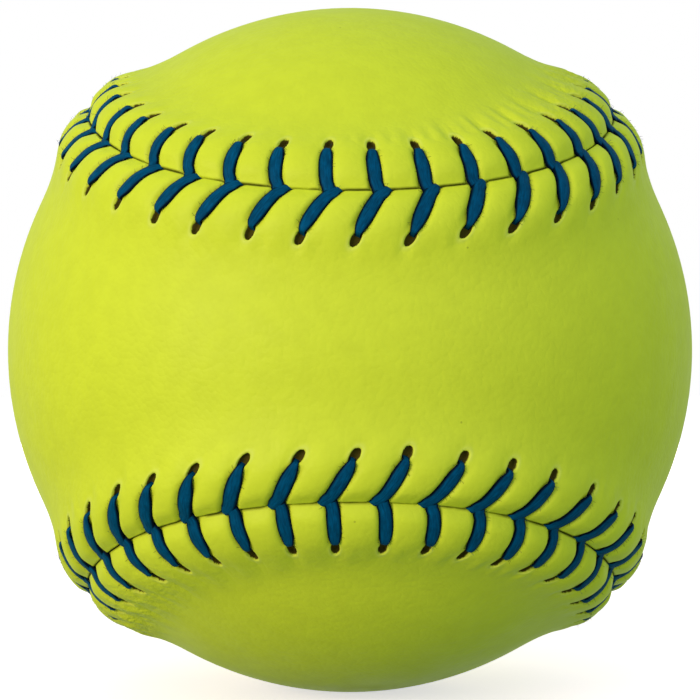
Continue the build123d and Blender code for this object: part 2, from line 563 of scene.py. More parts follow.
@dataclass(frozen=True)
class RidgeForm:
    """The raised seam's shape: crest, pillows between the stitches, grooves and punched holes."""

    crest: float = 2.2 * MM  # height of the ridge's top over the smooth cover
    crest_offset: float = 2.8 * MM  # distance of that top from the seam
    foot: float = 16.0 * MM  # distance at which the ridge has died away
    softness: float = 1.8  # how softly it dies away
    crease: float = 1.62 * MM  # height of the panels' edges at the seam
    crease_round: float = 0.16 * MM  # rounding of those edges
    crease_dirt: float = 0.3 * MM  # how far from the seam the painted shade of its crack reaches
    pillow: float = 0.5 * MM  # how far the leather swells between two stitches
    pillow_round: float = 2.2  # how roundly it swells, from 1 for a wedge
    # how far beside a leg it is held flat, as a share of the way between two legs
    pillow_flat: float = 0.14
    pillow_start: float = 0.7  # where the swelling is full, as a share of the way to the crest
    pillow_fade: float = 0.75  # where it starts to die away, as a share of the way to the holes
    pillow_reach: float = 1.6  # where it has died away
    gather_reach: float = 1.1  # how much further it goes where the leather is gathered
    groove: float = 0.45 * MM  # how deep a stitch leg sinks into the leather
    groove_half: float = 0.8 * MM  # half the width of that groove
    groove_wall: Span = (0.8, 1.5)  # start and end of its wall, in such halves from its leg
    groove_shade: Span = (0.85, 1.5)  # the same for the shade in it
    groove_end: Span = (0.6, 0.98)  # where it starts to run out and ends, as shares of the way to its hole
    # half the width and half the length of a front hole, which is longer along its leg
    front_hole: Span = (0.52 * MM, 0.96 * MM)
    rear_hole: Span = (0.60 * MM, 0.98 * MM)  # the same for a rear hole
    hole_square: float = 2.15  # how square a hole's ends are, from 2 for an oval
    hole_wall: Span = (0.86, 1.05)  # start and end of a hole's wall, in sizes of the hole
    hole_tuck: float = 0.75 * MM  # how far a hole reaches in from the stitch line's end, under its leg
    hole_depth: float = 0.8 * MM  # how deep the hole shows
    lip: float = 0.06 * MM  # height of the pushed-up edge round a hole
    lip_ring: Span = (1.35, 0.30)  # where that edge is highest and how broad it is, in sizes of the hole
    lip_start: Span = (-0.6 * MM, 0.4 * MM)  # where it starts and is full, past the stitch line's end
    thickness: float = 1.3 * MM  # thickness of the leather
    lining_rise: float = 0.4  # how far the flesh side follows the ridge, as a share

    def ridge(self, across: Any) -> ndarray:
        """Height of the plain ridge.

        Args:
            across: Distances from the seam.

        Returns:
            The height at each.
        """
        far = np.clip((across - self.crest_offset) / (self.foot - self.crest_offset), 0, 1)
        outside = self.crest * (0.5 + 0.5 * np.cos(math.pi * far)) ** self.softness
        near = np.clip(1 - across / self.crest_offset, 0, 1)
        inside = self.crest - (self.crest - self.crease) * near**2
        rounding = self.crease_round * np.clip(1 - across / self.crease_round, 0, 1) ** 2
        return np.where(across < self.crest_offset, inside - rounding, outside)

    def pillows(self, swell: ndarray, across: ndarray, offset: Any, gather: Any) -> ndarray:
        """Height of the swelling between the stitches.

        Args:
            swell: How far it swells beside each leg, 0 to 1.
            across: Distances from the seam.
            offset: Distance of the holes from the seam.
            gather: How strongly the leather past the holes is gathered.

        Returns:
            The height at each place.
        """
        far = self.pillow_reach + self.gather_reach * gather
        start = smooth(0, self.pillow_start * self.crest_offset, across)
        return self.pillow * swell * (start * fade(self.pillow_fade, far, across / offset))

    def slot(self, side: Side, beside: ndarray, past: ndarray) -> ndarray:
        """Distance from a hole's middle, with 1 on its edge.

        Args:
            side: The panel that the hole is in.
            beside: Distances from the leg's line.
            past: Distances past the stitch line's end.

        Returns:
            The distances, for a slot with round ends.
        """
        half_width, half_length = self.front_hole if side is Side.FRONT else self.rear_hole
        wide = np.abs(beside / half_width) ** self.hole_square
        long = np.abs((past + self.hole_tuck) / half_length - 1) ** self.hole_square
        return (wide + long) ** (1 / self.hole_square)

    def lips(self, oval: ndarray, past: ndarray) -> ndarray:
        """How much of the pushed-up edge there is round a hole, 0 to 1.

        Args:
            oval: Distances from the hole's middle, with 1 on its edge.
            past: Distances past the stitch line's end.

        Returns:
            The share at each place.
        """
        highest, breadth = self.lip_ring
        return np.exp(-(((oval - highest) / breadth) ** 2)) * smooth(*self.lip_start, past)

    def groove_floor(self, across: Any, offset: Any) -> ndarray:
        """Height of a groove's floor at distances from the seam."""
        return self.ridge(across) - self.groove * fade(*self.groove_end, across / offset)


class FoldWave(NamedTuple):
    """One row of folds along the seam."""

    strength: float  # its height, as a share
    rate: int  # folds to a stitch
    shift: float  # how far they shift to and fro
    often: int  # how often that changes round the seam
    pull: float  # how far gathered ones bend


@dataclass(frozen=True)
class FoldForm:
    """The small folds past the holes, and the crumples where the leather is gathered."""

    height: float = 0.07 * MM  # height of the folds
    reach: Window = Window(0.95, 1.2, 1.2, 1.5)  # where they lie on the way to the holes and past them
    bend: float = 1.9 * MM  # length of leather over which gathered folds bend to and fro
    bend_waves: int = 23  # how often that shifts round the seam
    patch: Span = (0.55, 0.45)  # mean strength of the folds, and how far it changes round the seam
    patch_waves: int = 7  # how often it changes
    patch_phase: float = 1.3  # where it starts
    gathered: float = 0.9  # how much stronger gathered folds are
    # coarse and fine folds
    waves: tuple[FoldWave, ...] = (FoldWave(1.0, 2, 2.0, 5, 1.0), FoldWave(0.6, 3, 3.0, 11, -2.0))
    crumple_power: int = 3  # how closely the crumples keep to the strongest gathers
    # where they lie on the way to the holes and past them
    crumple_reach: Window = Window(0.1, 0.8, 1.4, 2.5)

    def crumples(self, way: Any, gather: Any) -> ndarray:
        """How crumpled the leather is at shares of the way from the seam to the holes, 0 to 1."""
        return gather**self.crumple_power * self.crumple_reach.share(way)


@dataclass(frozen=True)
class PanelGrid:
    """How finely a panel's mesh is divided."""

    # places beside a stitch leg, as shares of the way to the middle between two legs
    columns: tuple[float, ...] = (0.06, 0.115, 0.155, 0.19, 0.235, 0.29, 0.36, 0.45, 0.57, 0.70, 0.85)
    own_share: float = 0.3  # how far along that way a leg's own measures hold
    # distances of the mesh's rows from the seam, in millimetres
    near_rows: tuple[float, ...] = (
        0.08, 0.16, 0.3, 0.55, 0.9, 1.3, 1.75, 2.25, 2.8, 3.35, 3.9, 4.35, 4.7, 4.95, 5.15, 5.35, 5.55,
        5.75, 5.95, 6.15, 6.35, 6.55, 6.75, 6.95, 7.15, 7.35, 7.55, 7.8, 8.15, 8.6, 9.1, 9.7,
    )
    # distances of the looser rings beyond, in millimetres, with how many places each has
    far_rings: tuple[tuple[float, int], ...] = (
        (10.5, 880), (11.4, 704), (12.4, 528), (13.6, 440), (15.0, 352), (16.6, 308), (18.2, 264),
    )
    ring_slack: float = 0.3 * MM  # how much nearer to another stretch of seam a ring's point may lie
    open_spacing: float = 1.7 * MM  # spacing of the points on the smooth lobes
    open_margin: float = 0.4  # their distance from the last ring, in spacings
    lining_spacing: float = 3.2 * MM  # spacing of the points on the flesh side
    lining_margin: float = 0.8  # their distance from the seam, in spacings
    tolerance: float = 1e-9  # distance on the panel's map below which two points are one


@dataclass(frozen=True)
class LeatherPanel:
    """One figure-8 cover panel: its raised stitched edge, smooth lobes and flesh side."""

    side: Side  # which panel it is
    plan: StitchPlan  # where the stitches are
    form: RidgeForm  # shape of the raised edge
    folds: FoldForm = FoldForm()  # shape of the folds past the holes
    grid: PanelGrid = PanelGrid()  # how finely the mesh is divided
    far: float = 3.0  # distance from the holes that all leather beyond them is given, in sizes of a hole

    @property
    def seam(self) -> Seam:
        """The line at the panel's edge."""
        return self.plan.seam

    def column_places(self) -> tuple[ndarray, ndarray]:
        """Sets out the columns of the stitched edge.

        Returns:
            Which stitch each column belongs to, and its share of the way to the next one, -1 to 1.
        """
        shares = np.array(self.grid.columns)
        one = np.concatenate([-shares[::-1], [0.0], shares, [1.0]])
        return np.repeat(np.arange(self.plan.count), len(one)), np.tile(one, self.plan.count)

    def sewn(self, values: ndarray, stitch: ndarray, share: ndarray) -> ndarray:
        """Carries one measure of the stitches over to the columns between them.

        Args:
            values: The measure of each stitch.
            stitch: Which stitch each column belongs to.
            share: Each column's share of the way to the next stitch.

        Returns:
            The measure at each column, as one row.
        """
        beside = values[(stitch + np.where(share > 0, 1, -1)) % self.plan.count]
        blend = 0.5 * smooth(self.grid.own_share, 1.0, np.abs(share))
        return (values[stitch] * (1 - blend) + beside * blend)[None, :]

    def edge_band(self) -> dict[str, ndarray]:
        """The stitched edge as rows and columns.

        Returns:
            Places along and across, heights and the masks of the band, each by row and column.
        """
        form, plan = self.form, self.plan
        stitch, share = self.column_places()
        dives, *others = plan.measures(self.side)
        others += [plan.girths(), plan.gathers(self.side)]
        lean, belly, offset, girth, gather = (self.sewn(values, stitch, share) for values in others)
        after = np.append(dives[1:], dives[0] + self.seam.length) - dives
        gap = np.where(share > 0, after[stitch], np.roll(after, 1)[stitch]) / 2
        across = np.array(self.grid.near_rows)[:, None] * MM
        way = across / offset
        beside = (share * gap)[None, :]
        along = dives[stitch][None, :] + beside - plan.lag(lean, belly, way)
        upright = 1 / np.hypot(1, plan.lag_slope(lean, belly, way) / offset)
        from_leg = np.abs(beside) * upright
        halves = from_leg / (form.groove_half * girth)
        groove = fade(*form.groove_end, way)
        flat = form.pillow_flat * girth[0]
        swell = 1 - (1 - np.clip((np.abs(share) - flat) / (1 - flat), 0, 1)) ** form.pillow_round
        past_hole = (across - offset) / upright
        oval = form.slot(self.side, from_leg, past_hole)
        lip = form.lips(oval, past_hole)
        height = form.ridge(across) + form.pillows(swell, across, offset, gather)
        height = height - form.groove * (groove * fade(*form.groove_wall, halves))
        height = height - form.hole_depth * fade(*form.hole_wall, oval) + form.lip * lip
        return {
            "along": along,
            "height": height + self.puckers(along, across, offset, gather),
            "across": np.broadcast_to(across, height.shape),
            "punch": np.minimum(oval, self.far),
            "rim": lip,
            # mask of the painted shade in the seam's crack
            "crease": np.broadcast_to(fade(0, form.crease_dirt, across), height.shape),
            # mask of the painted shade in the grooves beside the legs
            "shade": groove * fade(*form.groove_shade, halves),
            # mask of the crumples, for their bumps and their painted shade
            "fold": self.folds.crumples(way, gather),
            "swell": swell,
            "gather": gather[0],
        }

    def puckers(self, along: ndarray, across: ndarray, offset: Any, gather: Any) -> ndarray:
        """Small folds that run out from the holes into the smooth leather.

        Args:
            along: Lengths along the seam.
            across: Distances from it.
            offset: Distance of the holes from it.
            gather: How strongly the leather there is gathered.

        Returns:
            Heights of the folds.
        """
        form = self.folds
        reach = form.reach._replace(end=form.reach.end + gather).share(across / offset)
        turn = 2 * math.pi * along / self.seam.length
        bend = np.sin(across / form.bend + form.bend_waves * turn)
        mean, change = form.patch
        patch = mean + change * np.sin(form.patch_waves * turn + form.patch_phase + self.side.value)
        folds = np.zeros_like(reach)
        for strength, rate, shift, often, pull in form.waves:
            phase = rate * self.plan.count * turn + shift * np.sin(often * turn)
            folds = folds + strength * np.sin(phase + pull * gather * bend)
        return form.height * reach * (patch + form.gathered * gather) * folds

    def chart(self, points: ndarray) -> ndarray:
        """A flat map of the panel, long axis across, that keeps angles true.

        Args:
            points: Points of the panel, one row each.

        Returns:
            Their places on the map, one row each.
        """
        x, y, z = unit(points).T
        turn, rise = (np.arctan2(x, -y), z) if self.side is Side.FRONT else (np.arctan2(z, y), x)
        return np.stack([turn, np.arctanh(rise)], axis=1)

    def lobes(self, spacing: float, margin: float) -> tuple[ndarray, ndarray]:
        """Evenly spread points of the panel, a margin or more from the seam.

        Args:
            spacing: Distance between neighbouring points.
            margin: Least distance from the seam.

        Returns:
            Unit directions of the points, and their distances from the seam.
        """
        count = int(4 * math.pi * (self.seam.radius / spacing) ** 2 / math.sin(math.pi / 3))
        index = np.arange(count) + 0.5
        up = 1 - 2 * index / count
        turn = math.pi * (1 + math.sqrt(5)) * index
        out = np.sqrt(1 - up**2)
        spots = np.stack([out * np.cos(turn), out * np.sin(turn), up], axis=1)
        away = self.seam.away(spots) * self.side.value
        return spots[away > margin], away[away > margin]

    def fill(self, ring: ndarray, inside: ndarray, first: int, first_inside: int) -> list[tuple[int, ...]]:
        """Triangles that fill a ring of points over loose points inside it.

        Args:
            ring: The ring's points in order.
            inside: Points within it.
            first: Number of the ring's first point in the mesh.
            first_inside: Number of the first point inside.

        Returns:
            The triangles, as numbers of points.
        """
        flat = [Vector(spot) for spot in self.chart(np.concatenate([ring, inside]))]
        left_turning = list(range(len(ring)))[:: -self.side.value]
        keep_inside = 1
        _, _, faces, origins, _, owners = delaunay_2d_cdt(
            flat, [], [left_turning], keep_inside, self.grid.tolerance, True
        )
        numbers = [*range(first, first + len(ring)), *range(first_inside, first_inside + len(inside))]
        sources = [numbers[ids[0]] for ids in origins]
        owned = [face for face, rings in zip(faces, owners) if rings]
        return [tuple(sources[vertex] for vertex in face) for face in owned]

    def open_leather(self, band: dict[str, ndarray]) -> tuple[ndarray, ndarray]:
        """Loose points of the grain side beyond the stitched edge.

        Args:
            band: The stitched edge, whose pillows and folds run on into them.

        Returns:
            The points, one row each, and how crumpled the leather is at each.
        """
        distances, counts = zip(*self.grid.far_rings)
        across = np.repeat(np.array(distances) * MM, counts)
        along = np.concatenate([np.arange(places) / places for places in counts]) * self.seam.length
        edge = band["along"][-1]
        swell, gather = (
            np.interp(along, edge, band[measure], period=self.seam.length) for measure in ("swell", "gather")
        )
        offset = self.plan.hole_offset
        height = self.form.ridge(across) + self.form.pillows(swell, across, offset, gather)
        height = height + self.puckers(along, across, offset, gather)
        points = self.seam.place(along, across * self.side.value, height)
        kept = np.abs(self.seam.away(points)) > across - self.grid.ring_slack
        margin = across[-1] + self.grid.open_margin * self.grid.open_spacing
        spots, _ = self.lobes(self.grid.open_spacing, margin)
        fold = np.concatenate([self.folds.crumples(across / offset, gather)[kept], np.zeros(len(spots))])
        return np.concatenate([points[kept], spots * self.seam.radius]), fold

    def flesh_side(self, edge: ndarray) -> tuple[ndarray, ndarray]:
        """The flesh side, which follows the ridge a little.

        Args:
            edge: The grain side's points along the seam.

        Returns:
            Points of the flesh side along the seam, and its loose points, one row each.
        """
        inside = self.seam.radius - self.form.thickness
        wall = unit(edge) * (inside + self.form.lining_rise * self.form.crease)
        spacing = self.grid.lining_spacing
        spots, depth = self.lobes(spacing, self.grid.lining_margin * spacing)
        return wall, spots * (inside + self.form.lining_rise * self.form.ridge(depth))[:, None]

    def build(self, name: str) -> Object:
        """Builds the closed panel.

        Args:
            name: Name of the new object.

        Returns:
            The panel, with its masks as attributes.
        """
        band = self.edge_band()
        rows, columns = band["height"].shape
        across = band["across"].ravel() * self.side.value
        edge = self.seam.place(band["along"].ravel(), across, band["height"].ravel())
        grain, fold = self.open_leather(band)
        wall, flesh = self.flesh_side(edge[:columns])
        inner = len(edge) + len(grain)
        faces: list[tuple[int, ...]] = []
        for row in range(-1, rows - 1):
            near = inner if row < 0 else row * columns
            far = (row + 1) * columns
            for column in range(columns):
                after = (column + 1) % columns
                faces.append((near + column, near + after, far + after, far + column))
        faces += self.fill(edge[-columns:], grain, len(edge) - columns, len(edge))
        faces += self.fill(wall, flesh, inner, inner + len(wall))
        beyond = {"punch": self.far, "rim": 0.0, "crease": 0.0, "shade": 0.0, "fold": fold}
        # the unseen flesh side gets the full painted shade of the seam's crack
        hidden = beyond | {"crease": 1.0, "fold": 0.0}
        masks = {}
        for mask, value in beyond.items():
            unseen = np.full(len(wall) + len(flesh), hidden[mask])
            masks[mask] = np.concatenate([band[mask].ravel(), np.broadcast_to(value, len(grain)), unseen])
        panel = add_mesh(name, np.concatenate([edge, grain, wall, flesh]).tolist(), (), faces, **masks)
        self.face_outwards(panel.data)
        panel.data.shade_smooth()
        return panel

    @staticmethod
    def face_outwards(mesh: Mesh) -> None:
        """Makes every face look out of the leather.

        Args:
            mesh: The closed panel.
        """
        work = bmesh.new()
        work.from_mesh(mesh)
        bmesh.ops.recalc_face_normals(work, faces=work.faces)
        if work.calc_volume(signed=True) < 0:
            bmesh.ops.reverse_faces(work, faces=work.faces)
        work.to_mesh(mesh)
        work.free()


class RoutePoint(NamedTuple):
    """One point of the thread's route."""

    along: float  # length along the seam
    across: float  # distance from the seam, positive on the front panel
    height: float  # height above the smooth cover
    breadth: float  # width of the thread there, as a share of its full width
    fuzz: float  # how worn the thread is there, 0 where it runs beneath the leather


class LegStep(NamedTuple):
    """One step of a leg from its hole to the seam."""

    way: float  # share of the way from the seam to the hole
    breadth: float  # width of the thread, as a share
    lift: float | None  # height over the groove's floor, or None beneath the leather
    fuzz: float  # how worn the thread is


class TipStep(NamedTuple):
    """One step of a tip down between the panels, in millimetres from the leg's place on the seam."""

    ahead: float  # how far on along the seam
    aside: float  # how far out over the leg's own panel
    lift: float  # how far above the groove's floor at the seam
    breadth: float  # width of the thread, as a share


@dataclass(frozen=True)
class LegWidths:
    """How wide a leg is on its way from the seam to its hole, against one at the waist."""

    taper: float = 0.24  # how much of its width a leg well before a waist loses at the seam
    taper_end: Span = (0.05, 0.5)  # where on its way that starts to fade and ends
    swell: float = 0.18  # how much wider its outer half is
    outer: Window = Window(0.3, 0.6, 0.75, 0.95)  # where that half lies
    spread: float = 0.26  # how much wider the middle of a leg well after a waist is
    front_middle: Window = Window(-0.25, 0.25, 0.55, 0.9)  # where the middle of a front leg lies
    rear_middle: Window = Window(-0.25, 0.25, 0.45, 0.8)  # where that of a rear leg lies
    point: float = 0.32  # how much of its width such a leg loses at its hole
    front_point: Span = (0.6, 0.97)  # where on a front leg that starts and is full
    rear_point: Span = (0.5, 0.97)  # the same on a rear leg

    def at(self, way: float, sway: float, side: Side) -> float:
        """A leg's width.

        Args:
            way: Share of the way from the seam to its hole.
            sway: How far the leg is past a waist, from -1 before it to 1 after it.
            side: The panel that it lies on.

        Returns:
            Its width there, as a share.
        """
        if sway < 0:
            loss = self.taper * fade(*self.taper_end, way)
            return float(1 - sway * (self.swell * self.outer.share(way) - loss))
        rear = side is Side.REAR
        middle = self.rear_middle if rear else self.front_middle
        loss = self.point * smooth(*(self.rear_point if rear else self.front_point), way)
        return float(1 + sway * (self.spread * middle.share(way) - loss))


@dataclass
class Lacing:
    """One half of the sewing thread: flat legs over the leather, and runs beneath it."""

    plan: StitchPlan  # where the stitches are
    form: RidgeForm  # shape of the leather that the thread lies on
    needle: Needle  # which half it is
    widths: LegWidths = LegWidths()  # how the legs' width changes
    width: float = 1.7 * MM  # full width of the flat thread
    thickness: float = 0.64 * MM  # its thickness
    rear_reach: float = 0.955  # how near a rear leg comes to its hole's middle, as a share
    tip_edge: float = 0.4 * MM  # distance from the seam of the groove's floor that the tips start from
    tip_fuzz: float = 0.3  # how worn the tips are
    tunnel: float = -0.55 * MM  # height of its runs beneath the leather
    tunnel_breadth: float = 0.6  # its width there, as a share
    # points of such a run, as shares of the way to the next hole
    tunnel_spots: tuple[float, ...] = (0.25, 0.6, 0.88)
    sides: int = 12  # sides of its section
    smoothing: int = 2  # steps between two points of its route
    hair_length: float = 0.6 * MM  # length of the longest loose fibres
    hair_width: float = 0.03  # half the width of a fibre, as a share of its length
    hairs: float = 1.2e7  # loose fibres to a square metre of thread
    seed: int = 5  # seed of the fibres

    LEG = (
        LegStep(0.98, 0.45, None, 0.0),
        LegStep(0.955, 0.48, -0.45 * MM, 1.0),
        LegStep(0.925, 0.60, -0.10 * MM, 1.0),
        LegStep(0.86, 0.80, 0.0, 1.0),
        LegStep(0.74, 0.98, 0.0, 0.7),
        LegStep(0.60, 1.08, 0.0, 0.35),
        LegStep(0.45, 1.09, 0.0, 0.3),
        LegStep(0.30, 1.06, 0.0, 0.3),
        LegStep(0.16, 1.0, 0.0, 0.3),
    )
    TIPS = {
        Side.FRONT: (
            TipStep(-0.12, 0.50, 0.06, 1.0),
            TipStep(0.25, 0.20, 0.05, 0.84),
            TipStep(0.6, 0.05, -0.02, 0.54),
            TipStep(0.92, 0.0, -0.3, 0.2),
            TipStep(0.95, -0.1, -1.0, 0.2),
        ),
        Side.REAR: (
            TipStep(0.05, 0.35, 0.02, 1.0),
            TipStep(0.2, -0.15, 0.0, 1.0),
            TipStep(0.45, -0.6, -0.2, 0.9),
            TipStep(0.7, -1.0, -0.9, 0.6),
        ),
    }

    def floor(self, across: float, offset: float) -> float:
        """Height of the thread's middle where it lies in its groove."""
        return float(self.form.groove_floor(np.array(across), offset)) + self.thickness / 2

    def leg(self, stitch: int) -> list[RoutePoint]:
        """The thread's points from one hole over the ridge and down between the panels.

        Args:
            stitch: The stitch that the leg belongs to.

        Returns:
            The points in order.
        """
        side = self.needle.side(stitch)
        sway = float(self.plan.sway[stitch])
        dive, lean, belly, offset = (values[stitch] for values in self.plan.measures(side))
        reach = self.rear_reach if side is Side.REAR else 1.0
        points = []
        for step in self.LEG:
            share = step.way * reach
            across = share * offset
            height = self.tunnel if step.lift is None else self.floor(across, offset) + step.lift
            along = dive - self.plan.lag(lean, belly, share)
            breadth = step.breadth * self.widths.at(step.way, sway, side)
            points.append(RoutePoint(along, side.value * across, height, breadth, step.fuzz))
        edge = self.floor(self.tip_edge, self.plan.hole_offset)
        kept = self.widths.at(0.0, sway, side)
        for ahead, aside, lift, breadth in self.TIPS[side]:
            spot = (dive + ahead * MM, side.value * aside * MM, edge + lift * MM)
            points.append(RoutePoint(*spot, breadth * kept, self.tip_fuzz))
        return points

    def beneath(self, stitch: int) -> list[RoutePoint]:
        """The thread's points from a stitch's tip to the next hole, under the far panel.

        Args:
            stitch: The stitch that the run starts from.

        Returns:
            The points in order.
        """
        side = self.needle.side(stitch)
        dive = self.plan.dives(side)[stitch]
        next_dive, lean, _, offset = (values[stitch + 1] for values in self.plan.measures(side.other))
        way = next_dive - lean - dive
        spots = ((dive + way * run, side.other.value * run * offset) for run in self.tunnel_spots)
        return [RoutePoint(*spot, self.tunnel, self.tunnel_breadth, 0.0) for spot in spots]

    def route(self) -> list[RoutePoint]:
        """The whole route of this half, from its first hole round to the last stitch."""
        runs = [self.leg(stitch) + self.beneath(stitch) for stitch in range(self.plan.count - 1)]
        return sum(runs, []) + self.leg(self.plan.count - 1)

    def carrier(self, name: str) -> Object:
        """A chain of edges that carries the route as numbers on its points.

        Args:
            name: Name of the new object.

        Returns:
            The chain, with no shape of its own yet.
        """
        route = self.route()
        spots = [(index * MM, 0.0, 0.0) for index in range(len(route))]
        edges = [(index, index + 1) for index in range(len(route) - 1)]
        return add_mesh(name, spots, edges, **dict(zip(RoutePoint._fields, np.array(route).T)))

    def build(self, name: str, tree: NodeTree, guide: Object, thread: Material) -> Object:
        """Sews this half and makes it a plain mesh.

        Args:
            name: Name of the new object.
            tree: The lacing tree.
            guide: The seam's line.
            thread: The thread's material.

        Returns:
            The sewn thread.
        """
        chain = self.carrier(name)
        sizes = {
            "Seam Line": guide,
            "Ball Radius": self.plan.seam.radius,
            "Seam Length": self.plan.seam.length,
            "Thread Width": self.width,
            "Thread Thickness": self.thickness,
            "Section Sides": self.sides,
            "Smoothing": self.smoothing,
            "Hairs": self.hairs,
            "Hair Length": self.hair_length,
            "Hair Width": self.hair_width,
            "Seed": self.seed + self.needle.value,
            "Thread": thread,
        }
        modifier = chain.modifiers.new("lacing", "NODES")
        modifier.node_group = tree
        for socket in tree.interface.items_tree:
            if socket.item_type == "SOCKET" and socket.name in sizes:
                modifier[socket.identifier] = sizes[socket.name]
        depsgraph = bpy.context.evaluated_depsgraph_get()
        mesh = bpy.data.meshes.new_from_object(chain.evaluated_get(depsgraph), depsgraph=depsgraph)
        chain.modifiers.remove(modifier)
        chain.data = mesh
        mesh.name = name
        return chain


@dataclass(frozen=True)
class LacingTree:
    """The geometry tree that lays a flat thread along its route and roughens it with loose fibres."""

    # where the thread starts to fray and frays most, from its middle to its edges
    frayed: Span = (0.55, 1.0)
    face_wear: float = 0.1  # how much its face frays, as a share of its edges
    hair_points: int = 4  # points along a fibre
    hair_sides: int = 3  # sides of a fibre's section
    hair_bend: float = 0.4  # how far a fibre's end bends over, in its lengths
    hair_stray: float = 0.8  # how far fibres lean at random
    shortest: float = 0.3  # length of the shortest fibres, as a share of the longest

    INPUTS = {
        "Route": "Geometry",
        "Seam Line": "Object",
        "Ball Radius": "Float",
        "Seam Length": "Float",
        "Thread Width": "Float",
        "Thread Thickness": "Float",
        "Section Sides": "Int",
        "Smoothing": "Int",
        "Hairs": "Float",
        "Hair Length": "Float",
        "Hair Width": "Float",
        "Seed": "Int",
        "Thread": "Material",
    }

    def build(self) -> NodeTree:
        """Builds the tree.

        Returns:
            The tree, with named inputs for its sizes.
        """
        graph = Group("lacing", "GeometryNodeTree", self.INPUTS, {"Stitches": "Geometry"})
        ribbon = self.ribbon(graph)
        fibres = self.fibres(graph, ribbon)
        joined = graph.add("GeometryNodeJoinGeometry")
        for geometry in (ribbon, fibres):
            graph.feed(joined.inputs[0], geometry)
        plain = graph.add("GeometryNodeRealizeInstances", Geometry=joined)
        rounded = graph.add("GeometryNodeSetShadeSmooth", Geometry=plain)
        dressed = graph.add("GeometryNodeSetMaterial", Geometry=rounded, Material=graph.given("Thread"))
        return graph.giving("Stitches", dressed)

    def ribbon(self, graph: Group) -> Node:
        """Adds the nodes that turn the route into a flat ribbon on the ball.

        Args:
            graph: The lacing tree.

        Returns:
            The node that gives the ribbon's mesh.
        """
        line = graph.add("GeometryNodeObjectInfo", Object=graph.given("Seam Line")).outputs["Geometry"]
        path = graph.add("GeometryNodeMeshToCurve", Mesh=line)
        lap = graph.math("FLOORED_MODULO", graph.field("along"), graph.given("Seam Length"))
        spot = graph.add("GeometryNodeSampleCurve", {"mode": "LENGTH"}, Curves=path, Length=lap).outputs
        outward = graph.vector("NORMALIZE", spot["Position"])
        sideways = graph.vector("NORMALIZE", graph.vector("CROSS_PRODUCT", spot["Tangent"], outward))
        angle = graph.math("DIVIDE", graph.field("across"), graph.given("Ball Radius"))
        beside = graph.scaled(sideways, graph.math("SINE", angle))
        heading = graph.vector("ADD", graph.scaled(outward, graph.math("COSINE", angle)), beside)
        place = graph.scaled(heading, graph.math("ADD", graph.field("height"), graph.given("Ball Radius")))
        laid = graph.add("GeometryNodeSetPosition", Geometry=graph.given("Route"), Position=place)
        curve = graph.add("GeometryNodeMeshToCurve", Mesh=laid)
        curve = graph.add("GeometryNodeCurveSplineType", {"spline_type": "CATMULL_ROM"}, Curve=curve)
        steps = graph.given("Smoothing")
        curve = graph.add("GeometryNodeSetSplineResolution", Geometry=curve, Resolution=steps)
        up = graph.vector("NORMALIZE", graph.add("GeometryNodeInputPosition"))
        curve = graph.add("GeometryNodeSetCurveNormal", {"mode": "FREE"}, Curve=curve, Normal=up)
        curve = graph.stored(curve, "run", graph.add("GeometryNodeSplineParameter").outputs["Length"])
        section = graph.circle(graph.given("Section Sides"), 1.0)
        flank = graph.coordinate("Y")
        section = graph.stored(section, "edge", graph.math("ABSOLUTE", flank))
        section = graph.stored(section, "flank", flank)
        halves = {"X": graph.times(graph.given("Thread Thickness"), 0.5)}
        halves["Y"] = graph.times(graph.given("Thread Width"), 0.5)
        size = graph.add("ShaderNodeCombineXYZ", Z=1.0, **halves)
        section = graph.add("GeometryNodeTransform", Geometry=section, Scale=size)
        return graph.swept(curve, section, graph.field("breadth"))

    def fibres(self, graph: Group, ribbon: Node) -> Node:
        """Adds the nodes that set short bent fibres on the ribbon's edges.

        Args:
            graph: The lacing tree.
            ribbon: The node that gives the ribbon's mesh.

        Returns:
            The node that gives the fibres, as instances.
        """
        seed = graph.given("Seed")
        # real wear: the thread frays more at its edges than on its face
        wear_and_shade = graph.mapped(graph.field("edge"), self.frayed, self.face_wear)
        share = graph.times(graph.times(wear_and_shade, graph.field("fuzz")), graph.given("Hairs"))
        roots = graph.add("GeometryNodeDistributePointsOnFaces", Mesh=ribbon, Density=share, Seed=seed)
        strand = graph.add("GeometryNodeCurvePrimitiveLine", Start=(0, 0, 0), End=(0, 0, 1))
        strand = graph.add("GeometryNodeResampleCurve", Curve=strand, Count=self.hair_points)
        climb = graph.coordinate("Z")
        bend = graph.add("ShaderNodeCombineXYZ", X=graph.times(graph.times(climb, climb), self.hair_bend))
        strand = graph.add("GeometryNodeSetPosition", Geometry=strand, Offset=bend)
        section = graph.circle(self.hair_sides, graph.given("Hair Width"))
        hair = graph.swept(strand, section, 1.0)
        draw = "FunctionNodeRandomValue"
        aside = {"in_0": (-1, -1, -1), "in_1": (1, 1, 1)}
        stray = graph.add(draw, {"data_type": "FLOAT_VECTOR"}, Seed=seed, **aside).outputs[0]
        lean = graph.vector("ADD", roots.outputs["Normal"], graph.scaled(stray, self.hair_stray))
        turn = graph.add("FunctionNodeAlignRotationToVector", {"axis": "Z"}, Vector=lean)
        tall = graph.add(draw, {"data_type": "FLOAT"}, in_2=self.shortest, in_3=1.0, Seed=seed).outputs[1]
        pose = {"Rotation": turn, "Scale": graph.times(tall, graph.given("Hair Length"))}
        return graph.add("GeometryNodeInstanceOnPoints", Points=roots, Instance=hair, **pose)


